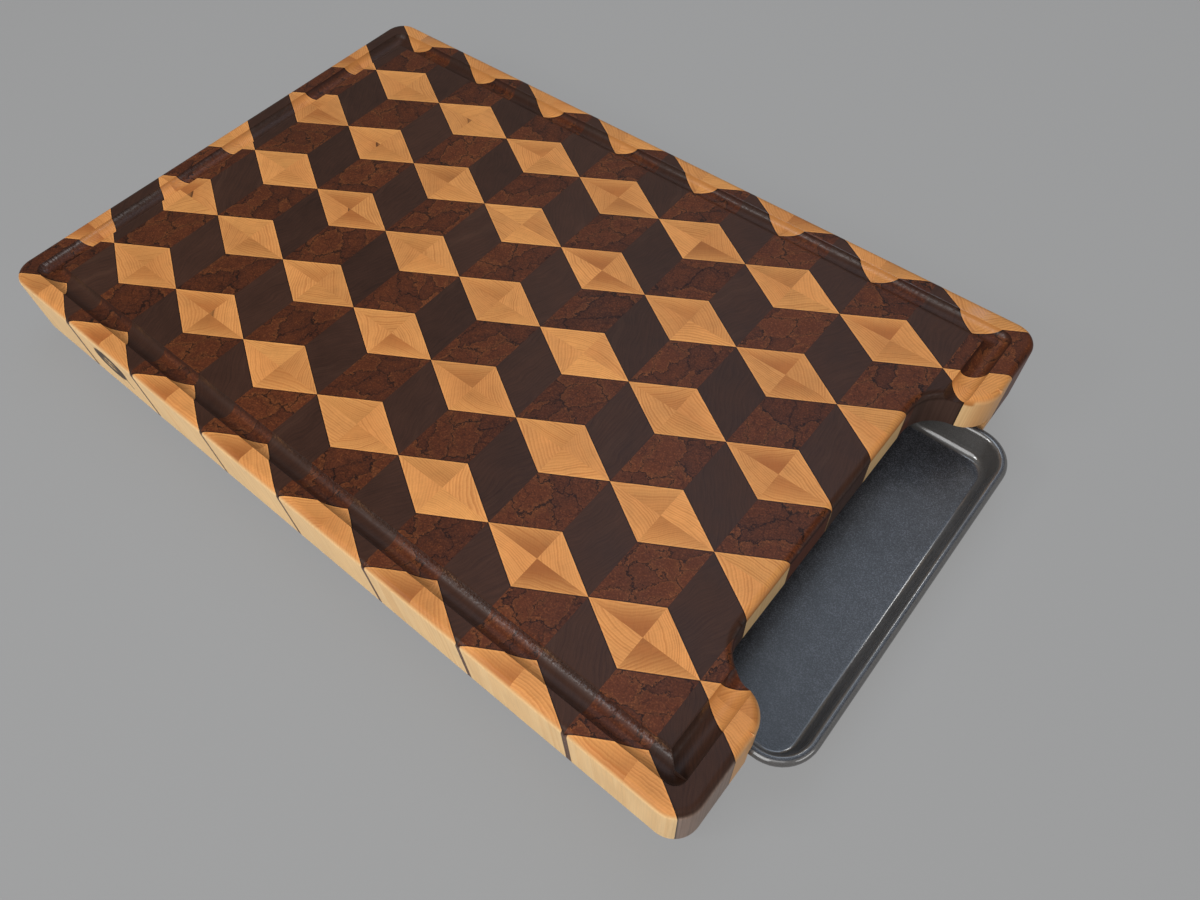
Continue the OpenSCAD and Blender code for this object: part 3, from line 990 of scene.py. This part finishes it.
@dataclass(frozen=True)
class SapeleBlock(OiledWood):
    """Oiled figured sapele: thin black jagged lines between darker and lighter patches."""

    base: Colour
    bronze: Colour
    shadow: Colour
    line: Colour
    joint: Colour

    # Drawn for each block: its cells' direction in radians, and its tone.
    ANGLE = (-1.1, 1.1)
    TONE = (1.0, 1.24)
    # How the borders stray and how large the cells are in millimetres, and the smaller cells.
    BEND = Noise((0.16, 0.16, 9.0), 5.0, 0.66, 30.0)
    BEND_REACH = 13.0
    CELL = (19.0, 13.0)
    CELL_RATE = (1.3, 0.75)
    CELL_SEED = (50.0, 90.0)
    VEIN_RATE = (0.2, 0.13)
    VEIN_SEED = (20.0, 60.0)
    PATCH = Noise((0.1, 0.1, 0.0), 1.0, seed=90.0)
    # How near to a border, and in which patches and cells, each part of the figure shows.
    EDGE = (0.032, 0.012)
    EDGE_PATCH = (0.3, 0.42)
    VEIN = (0.085, 0.025)
    VEIN_PATCH = (0.62, 0.48)
    BUSY = (-0.15, 0.15)
    DARK_CELL = (0.5, 0.65)
    SHADE = (0.5, 0.02)
    SHEEN = (0.2, 0.02)
    DOTS = (0.02, 0.25)
    FIBRE = Noise((0.9, 0.12, 0.0), 3.0, 0.6, 40.0)
    BOARD_NOISE = {
        "mottle": Noise((1.1, 1.1, 0.05), 2.0, 0.6),
        "pores": Noise((3.0, 3.0, 0.15), 2.0, 0.7),
        "cloud": Noise((0.05, 0.05, 0.03), 3.0, 0.6),
        "streak": Noise((1.2, 1.2, 0.03), 3.0, 0.6),
    }
    SHADOW_SHARE = 0.5
    LINE_MOST = 0.9
    JOINT_SHARE = 0.7
    FLANK_STREAK = 0.7
    BRONZE_SHARES = {"sheen": 0.25, "dots": 0.35}
    LINE_SHARES = {"edge": 0.85, "vein": 0.4}
    TONE_SHARES = {"cloud": 0.5, "cell": -0.2, "fibre": 0.4, "mottle": 1.4, "pores": 0.7}
    GLOSS_SHARES = {"cloud": 0.15, "mottle": -0.15, "scratch": 0.3}
    GRAIN_SHARES = {"edge": -0.01, "pores": 0.016, "mottle": 0.012, "scratch": 0.12}

    def cracks(self, p: StickPoint) -> Dict[str, Wire]:
        """Read the black lines, the tone of the patches between them and the fibres.

        The block is cut into long random cells whose borders are bent by noise. Parts of the
        borders are thin black lines, and fainter veins part smaller cells. Dark cells are shaded
        along their borders and light ones are bronze there. The cells' direction and size, and
        where the veins show, are drawn for each block.

        Args:
            p: The point.

        Returns:
            The fibres as noise around 0 and the other parts from 0 to 1, by name.
        """
        mark, busy = p.chance(1), p.chance(2)
        angle = p.chance(4).within(self.ANGLE)
        cosine, sine = (angle + math.pi / 2.0).sin(), angle.sin()
        bends = [self.BEND.around((p.u, p.v, layer), mark) for layer in (0.0, 1.0)]
        right, up = p.u + bends[0] * self.BEND_REACH, p.v + bends[1] * self.BEND_REACH
        place = (right * cosine + up * sine, up * cosine - right * sine)
        size = busy.within(self.CELL)
        large = [way / size * rate for way, rate in zip(place, self.CELL_RATE)]
        small = [way * rate for way, rate in zip(place, self.VEIN_RATE)]
        border, cell = p.graph.cells(*(w + mark * s for w, s in zip(large, self.CELL_SEED)))
        vein, _ = p.graph.cells(*(w + mark * s for w, s in zip(small, self.VEIN_SEED)))
        patch = self.PATCH.read((p.u, p.v, 0.0), mark)
        calm = (patch + busy.within(self.BUSY)).step(*self.VEIN_PATCH)
        dark = cell.step(*self.DARK_CELL)
        return {
            "edge": border.step(*self.EDGE) * patch.step(*self.EDGE_PATCH),
            "vein": vein.step(*self.VEIN) * calm,
            "cell": cell,
            "shade": border.step(*self.SHADE) * dark,
            "sheen": border.step(*self.SHEEN) * (1.0 - dark),
            "fibre": self.FIBRE.around((p.e, p.u, 0.0), mark),
        }

    def figure(self, p: StickPoint) -> Dict[str, Wire]:
        """Read the wood's figure.

        Args:
            p: The point.

        Returns:
            The parts of the figure by name.
        """
        figure = {**self.board_noise(p), **self.cracks(p)}
        figure["dots"] = figure["mottle"].step(*self.DOTS)
        figure["scratch"] = p.groove * figure["streak"]
        return figure

    def make(self) -> bpy.types.Material:
        """Make the material.

        Returns:
            The material.
        """
        g = Graph.material(self.name)
        p = StickPoint(g, self.lean)
        figure = self.figure(p)
        wood = g.blend(weigh(figure, self.BRONZE_SHARES), self.base, self.bronze)
        wood = g.blend(figure["shade"] * self.SHADOW_SHARE, wood, self.shadow)
        lines = weigh(figure, self.LINE_SHARES).least(self.LINE_MOST)
        wood = g.blend(lines, wood, self.line)
        tone = p.chance(3).within(self.TONE)
        wood = g.shade(wood, tone + weigh(figure, self.TONE_SHARES))
        # Groove walls take the groove colour, a darker copy of the side grain that is painted
        # shade.
        flank = g.blend(p.upright, self.groove, self.flank)
        flank = g.shade(flank, figure["streak"] * self.FLANK_STREAK + 1.0)
        wood = g.blend(p.end_grain, flank, wood)
        wood = g.blend(p.joint() * self.JOINT_SHARE, wood, self.joint)
        return self.finish(p, wood, figure)


@dataclass(frozen=True)
class RunnerMaple:
    """Planed maple with its grain along the runner."""

    name: str
    base: Colour
    line: Colour

    WAVE = Noise((0.01, 0.05, 0.05))
    WAVE_REACH = 6.0
    BAND = Noise((0.012, 0.5, 0.5), 4.0, 0.6)
    BAND_EDGE = (0.35, 0.7)
    FLECK = Noise((0.25, 2.5, 2.5), 2.0, 0.7)
    FLECK_SHARE = 0.3
    GLOSS = (0.45, 0.6)
    GRAIN = 0.03
    SPECULAR = 0.45

    def make(self) -> bpy.types.Material:
        """Make the material from noise that is stretched along the length.

        Returns:
            The material.
        """
        g = Graph.material(self.name)
        x, y, z = g.place()
        wave = self.WAVE.around((x, y, z)) * self.WAVE_REACH
        band = self.BAND.read((x, y + wave, z))
        fleck = self.FLECK.around((x, y, z))
        wood = g.blend(band.step(*self.BAND_EDGE), self.base, self.line)
        wood = g.shade(wood, fleck * self.FLECK_SHARE + 1.0)
        return g.surface(
            Base_Color=wood,
            Roughness=band.within(self.GLOSS),
            Normal=g.bump((fleck + band) * self.GRAIN),
            Specular_IOR_Level=self.SPECULAR,
        )


@dataclass(frozen=True)
class Rubber:
    """Moulded black rubber with a fine dusty bloom."""

    name: str
    base: Colour
    bloom: Colour

    FINE = Noise((3.0, 3.0, 3.0), 2.0, 0.7)
    DUST = Noise((0.3, 0.3, 0.3), 3.0, 0.6)
    BLOOM = (0.35, 0.8)
    GLOSS = (0.6, 0.8)
    GRAIN = 0.03

    def make(self) -> bpy.types.Material:
        """Make the material from fine and coarse noise.

        Returns:
            The material.
        """
        g = Graph.material(self.name)
        place = g.place()
        fine, dust = self.FINE.around(place), self.DUST.read(place)
        tint = g.blend((dust + fine).step(*self.BLOOM), self.base, self.bloom)
        return g.surface(
            Base_Color=tint,
            Roughness=dust.within(self.GLOSS),
            Normal=g.bump(fine * self.GRAIN),
        )


@dataclass(frozen=True)
class ZincSteel:
    """Zinc plated steel with a fine spangle and duller patches."""

    name: str
    base: Colour
    dull: Colour

    FINE = Noise((5.0, 5.0, 5.0), 2.0, 0.6)
    COARSE = Noise((0.6, 0.6, 0.6), 3.0, 0.6)
    DULL = (0.4, 0.7)
    GLOSS = (0.18, 0.43)
    SPANGLE = 0.1
    GRAIN = 0.01

    def make(self) -> bpy.types.Material:
        """Make the material from fine and coarse noise.

        Returns:
            The material.
        """
        g = Graph.material(self.name)
        place = g.place()
        fine, coarse = self.FINE.read(place), self.COARSE.read(place)
        return g.surface(
            Base_Color=g.blend(coarse.step(*self.DULL), self.base, self.dull),
            Metallic=1.0,
            Roughness=coarse.within(self.GLOSS) + fine * self.SPANGLE,
            Normal=g.bump(fine * self.GRAIN),
        )


@dataclass(frozen=True)
class PanCoat:
    """Dark nonstick coat: charcoal with fine pale specks and a soft gloss."""

    name: str
    base: Colour
    speck: Colour
    # Lighter, warmer copy of the coat for the walls: painted light.
    wall_painted_light: Colour

    LEVEL = (0.955, 0.985)
    FINE = Noise((1.6, 1.6, 1.6), 2.0, 0.7)
    COARSE = Noise((0.12, 0.12, 0.12))
    PEEL = Noise((0.8, 0.8, 0.8), 1.0)
    SPECK = (-0.1, 0.25)
    SPECK_THINNING = 0.15
    SPECK_SHARE = (0.1, 0.6)
    GLOSS = 0.42
    SPECULAR = 0.39
    WALL_TO_FLOOR_COAT = (1.0, 0.04)
    COAT_ROUGHNESS = 0.12
    COAT_IOR = 1.8
    TONE_SHARES = {"coarse": 0.3, "fine": 1.4}
    GLOSS_SHARES = {"fine": 0.25}
    GRAIN_SHARES = {"peel": 0.012, "fine": 0.014}

    def make(self) -> bpy.types.Material:
        """Make the material.

        Specks are the peaks of a fine noise, thinned by a coarser one. Walls have fewer of them.

        Returns:
            The material.
        """
        g = Graph.material(self.name)
        place = g.place()
        noises = {"fine": self.FINE, "coarse": self.COARSE, "peel": self.PEEL}
        figure = {name: noise.around(place) for name, noise in noises.items()}
        level = g.level().step(*self.LEVEL)
        speck = (figure["fine"] + figure["coarse"] * self.SPECK_THINNING).step(*self.SPECK)
        # Walls take the lighter copy, painted light; the floor takes the base colour.
        coat = g.blend(level, self.wall_painted_light, self.base)
        coat = g.blend(speck * level.within(self.SPECK_SHARE), coat, self.speck)
        return g.surface(
            Base_Color=g.shade(coat, weigh(figure, self.TONE_SHARES) + 1.0),
            Roughness=weigh(figure, self.GLOSS_SHARES) + self.GLOSS,
            Normal=g.bump(weigh(figure, self.GRAIN_SHARES)),
            Specular_IOR_Level=self.SPECULAR,
            Coat_Weight=level.within(self.WALL_TO_FLOOR_COAT),
            Coat_Roughness=self.COAT_ROUGHNESS,
            Coat_IOR=self.COAT_IOR,
        )


def dress(name: str, material: bpy.types.Material) -> None:
    """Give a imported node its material.

    Args:
        name: The node's name.
        material: What all its slots get.
    """
    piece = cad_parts[name]
    for slot in piece.material_slots:
        slot.material = material
    LOG.info("%s: %s", name, material.name)


@dataclass
class Block:
    """The board itself: six rows of walnut and sapele blocks with maple wedges."""

    rows: int = STICKS.rows
    walnut: WalnutBlock = WalnutBlock(
        "walnut_end_grain",
        Lean.FALLING,
        base=srgb(56, 34, 24),
        pale=srgb(80, 54, 40),
        line=srgb(36, 21, 16),
        # groove and notch are painted shade: darker copies of the side grain.
        groove=srgb(60, 42, 34),
        notch=srgb(78, 58, 50),
        flank=srgb(146, 122, 108),
        joint=srgb(18, 9, 7),
    )
    sapele: SapeleBlock = SapeleBlock(
        "sapele_figured",
        Lean.RISING,
        base=srgb(81, 39, 19),
        bronze=srgb(118, 70, 36),
        shadow=srgb(60, 30, 18),
        line=srgb(18, 7, 4),
        # groove is painted shade: a darker copy of the side grain.
        groove=srgb(60, 36, 28),
        flank=srgb(96, 58, 44),
        joint=srgb(24, 10, 7),
    )
    spots: Tuple[Spot, ...] = (
        Spot(column=-5, row=1, side=-1.0, reach=2.6, share=0.9),
        Spot(column=-4, row=0, side=-1.0, reach=1.7, share=0.9),
        Spot(column=-7, row=-1, side=1.0, reach=3.2, share=0.9),
        Spot(column=-4, row=2, side=-1.0, reach=3.0, share=0.6),
        Spot(column=-4, row=-2, side=1.0, reach=3.0, share=0.65),
    )

    def wedges(self) -> Dict[str, MapleWedge]:
        """Set the finishes of the wedges, which differ between the two kinds of stick.

        Returns:
            The finishes by the wood of the stick's block.
        """
        sides = {
            # groove is painted shade: a darker copy of the side grain.
            "groove": srgb(196, 130, 70),
            "flank": srgb(240, 201, 146),
            "flank_line": srgb(222, 174, 117),
        }
        return {
            "walnut": MapleWedge(
                "maple_of_walnut_sticks",
                Lean.FALLING,
                early=srgb(210, 143, 80),
                late=srgb(176, 108, 55),
                heart=srgb(180, 112, 58),
                heart_share=(0.0, 0.5),
                spots=self.spots,
                **sides,
            ),
            "sapele": MapleWedge(
                "maple_of_sapele_sticks",
                Lean.RISING,
                early=srgb(214, 148, 82),
                late=srgb(178, 110, 56),
                heart=srgb(154, 88, 42),
                heart_share=(0.05, 0.95),
                **sides,
            ),
        }

    def dress(self) -> None:
        """Dress the four nodes of every row."""
        blocks = {"walnut": self.walnut.make(), "sapele": self.sapele.make()}
        wedges = {wood: finish.make() for wood, finish in self.wedges().items()}
        for row in range(1, self.rows + 1):
            for wood in blocks:
                dress(f"row{row}_{wood}_blocks", blocks[wood])
                dress(f"row{row}_{wood}_wedges", wedges[wood])


@dataclass
class Runners:
    """The two strips that carry the pan, and their screws."""

    sides: Tuple[str, ...] = ("left", "right")
    maple: RunnerMaple = RunnerMaple("runner_maple", srgb(214, 172, 122), srgb(184, 136, 86))

    def dress(self, steel: bpy.types.Material) -> None:
        """Dress both runners and their screws.

        Args:
            steel: The material of the screws.
        """
        wood = self.maple.make()
        for side in self.sides:
            dress(f"runner_{side}", wood)
        dress("runner_screws", steel)


@dataclass
class Feet:
    """Four rubber feet with their washers and screws."""

    places: Tuple[str, ...] = ("front_left", "front_right", "rear_left", "rear_right")
    rubber: Rubber = Rubber("foot_rubber", srgb(34, 34, 35), srgb(66, 65, 64))

    def dress(self, steel: bpy.types.Material) -> None:
        """Dress the feet, the washers and the screws.

        Args:
            steel: The material of the washers and screws.
        """
        rubber = self.rubber.make()
        for place in self.places:
            dress(f"foot_{place}", rubber)
        for metal in ("foot_washers", "foot_screws"):
            dress(metal, steel)


@dataclass
class Pan:
    """The slide-out pan and the wire in its rolled rim."""

    coat: PanCoat = PanCoat(
        "nonstick_coat",
        base=srgb(43, 43, 46),
        speck=srgb(100, 102, 108),
        # The walls' lighter copy of the coat, painted light.
        wall_painted_light=srgb(74, 71, 68),
    )

    def dress(self, steel: bpy.types.Material) -> None:
        """Dress the pan and its rim wire.

        Args:
            steel: The material of the wire.
        """
        dress("pan", self.coat.make())
        dress("rim_wire", steel)


@dataclass(frozen=True)
class Lamp:
    """A soft box: where it stands from the point that it faces, its size and its strength."""

    name: str
    towards: Tuple[float, float, float]
    away: float
    size: Span
    share: float
    tint: Colour = (1.0, 1.0, 1.0)

    def make(self, aim: np.ndarray) -> None:
        """Add the lamp.

        A white sheet that faces a lamp of power P at distance D is P / (pi D)^2 of full white, and
        share is that part.

        Args:
            aim: The point that it faces, in metres.
        """
        light = bpy.data.lights.new(self.name, "AREA")
        light.shape = "RECTANGLE"
        light.size, light.size_y = self.size
        light.energy = self.share * (math.pi * self.away) ** 2
        light.color = self.tint
        lamp = bpy.data.objects.new(self.name, light)
        axis = np.array(self.towards) / np.linalg.norm(self.towards)
        side = np.cross((0.0, 0.0, 1.0), axis)
        side /= np.linalg.norm(side)
        turn = Matrix(np.column_stack((side, np.cross(axis, side), axis)).tolist()).to_4x4()
        turn.translation = (aim + axis * self.away).tolist()
        lamp.matrix_world = turn
        bpy.context.scene.collection.objects.link(lamp)
        LOG.info("%s: lamp", self.name)


@dataclass
class Studio:
    """Floor, lamps, surroundings and camera, in metres, with lens and sensor in millimetres.

    The camera was solved from the board's pattern.
    """

    grey: float = 0.342
    floor_half: float = 20.0
    floor_steps: int = 9
    floor_glow: float = 0.82
    ambient: float = 0.13
    lens: float = 27.516
    sensor: float = 36.0
    clip: float = 0.01
    aim: Tuple[float, float, float] = (0.0, 0.0, 0.03)
    eye: Tuple[float, float, float] = (0.27463, -0.23594, 0.44406)
    right: Tuple[float, float, float] = (0.77236276, 0.63426614, -0.03409148)
    down: Tuple[float, float, float] = (0.51353894, -0.65513501, -0.55414427)
    ahead: Tuple[float, float, float] = (-0.37380947, 0.41049309, -0.83172225)
    lamps: Tuple[Lamp, ...] = (
        Lamp("key_softbox", (0.1, -0.8, 0.6), away=1.2, size=(1.0, 0.8), share=0.545),
        Lamp("side_softbox", (-0.33, -0.71, 0.62), away=1.4, size=(0.34, 0.24), share=0.21),
        Lamp(
            "top_softbox",
            (-0.05, 0.27, 0.96),
            away=1.15,
            size=(0.7, 0.6),
            share=0.27,
            tint=(0.8, 0.97, 1.18),
        ),
        Lamp("near_fill", (0.4, -0.45, 0.72), away=0.95, size=(0.5, 0.5), share=0.12),
        Lamp("front_fill", (0.9, -0.1, 0.42), away=1.8, size=(0.8, 0.6), share=0.14),
        Lamp(
            "cool_window",
            (-0.1, 0.66, 0.745),
            away=1.3,
            size=(0.5, 0.4),
            share=0.07,
            tint=(0.75, 0.9, 1.15),
        ),
        Lamp(
            "pan_window",
            (0.22, 0.615, 0.757),
            away=1.25,
            size=(0.3, 0.25),
            share=0.022,
            tint=(1.1, 1.0, 0.9),
        ),
        Lamp("back_strip", (-0.43, 0.52, 0.74), away=1.6, size=(0.3, 0.1), share=0.045),
    )

    def floor_mesh(self) -> bpy.types.Mesh:
        """Lay the floor: a level square grid, point (i, j) at even steps in X and Y, Z at 0.

        Returns:
            The mesh.
        """
        marks = np.linspace(-self.floor_half, self.floor_half, self.floor_steps)
        x, y = np.meshgrid(marks, marks)
        points = np.stack((x, y, np.zeros_like(x)), axis=-1).reshape(-1, 3)
        first = np.arange(self.floor_steps * (self.floor_steps - 1)).reshape(-1, self.floor_steps)
        first = first[:, :-1].ravel()
        quads = np.stack(
            (first, first + 1, first + self.floor_steps + 1, first + self.floor_steps), axis=-1
        )
        mesh = bpy.data.meshes.new("floor")
        mesh.from_pydata(points.tolist(), [], quads.tolist())
        return mesh

    def floor_finish(self) -> bpy.types.Material:
        """Make the floor's paint.

        The camera and mirror rays see a part of it as even grey, and the rest takes the shadow.

        Returns:
            The material.
        """
        g = Graph.material("floor_paint")
        tint = (self.grey, self.grey, self.grey)
        glow = g.shader("ShaderNodeEmission", Color=tint)
        paint = g.shader("ShaderNodeBsdfDiffuse", Color=tint)
        share = g.seen() * self.floor_glow
        both = g.add("ShaderNodeMixShader", None, {0: share, 1: paint, 2: glow})
        g.add("ShaderNodeOutputMaterial", None, {"Surface": Wire(g, both.outputs[0])})
        return g.owner

    def surroundings(self) -> None:
        """Set the world: even soft light, and the floor's grey for camera and mirror rays."""
        g = Graph(bpy.data.worlds.new("studio"))
        soft = g.shader("ShaderNodeBackground", Color=(1.0, 1.0, 1.0), Strength=self.ambient)
        back = g.shader("ShaderNodeBackground", Color=(self.grey, self.grey, self.grey))
        both = g.add("ShaderNodeMixShader", None, {0: g.seen(), 1: soft, 2: back})
        g.add("ShaderNodeOutputWorld", None, {"Surface": Wire(g, both.outputs[0])})
        bpy.context.scene.world = g.owner

    def camera(self) -> None:
        """Set the camera where the photograph was taken from."""
        view = bpy.data.cameras.new("camera")
        view.sensor_width = self.sensor
        view.lens = self.lens
        view.clip_start = self.clip
        eye = bpy.data.objects.new("camera", view)
        axes = np.array((self.right, np.negative(self.down), np.negative(self.ahead)))
        place = Matrix(axes.T.tolist()).to_4x4()
        place.translation = self.eye
        eye.matrix_world = place
        bpy.context.scene.collection.objects.link(eye)
        bpy.context.scene.camera = eye

    def build(self) -> None:
        """Build the floor, the lamps, the surroundings and the camera."""
        floor = bpy.data.objects.new("floor", self.floor_mesh())
        floor.data.materials.append(self.floor_finish())
        bpy.context.scene.collection.objects.link(floor)
        for lamp in self.lamps:
            lamp.make(np.array(self.aim))
        self.surroundings()
        self.camera()
        bpy.context.scene.view_settings.view_transform = "Standard"
        LOG.info("studio: floor, %d lamps, camera", len(self.lamps))


def main() -> None:
    """Dress every sub-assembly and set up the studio."""
    logging.basicConfig(level=logging.INFO, format="%(name)s %(message)s")
    steel = ZincSteel("zinc_steel", srgb(186, 186, 182), srgb(140, 140, 138)).make()
    Block().dress()
    Runners().dress(steel)
    Feet().dress(steel)
    Pan().dress(steel)
    Studio().build()


if __name__ == "__main__":
    main()
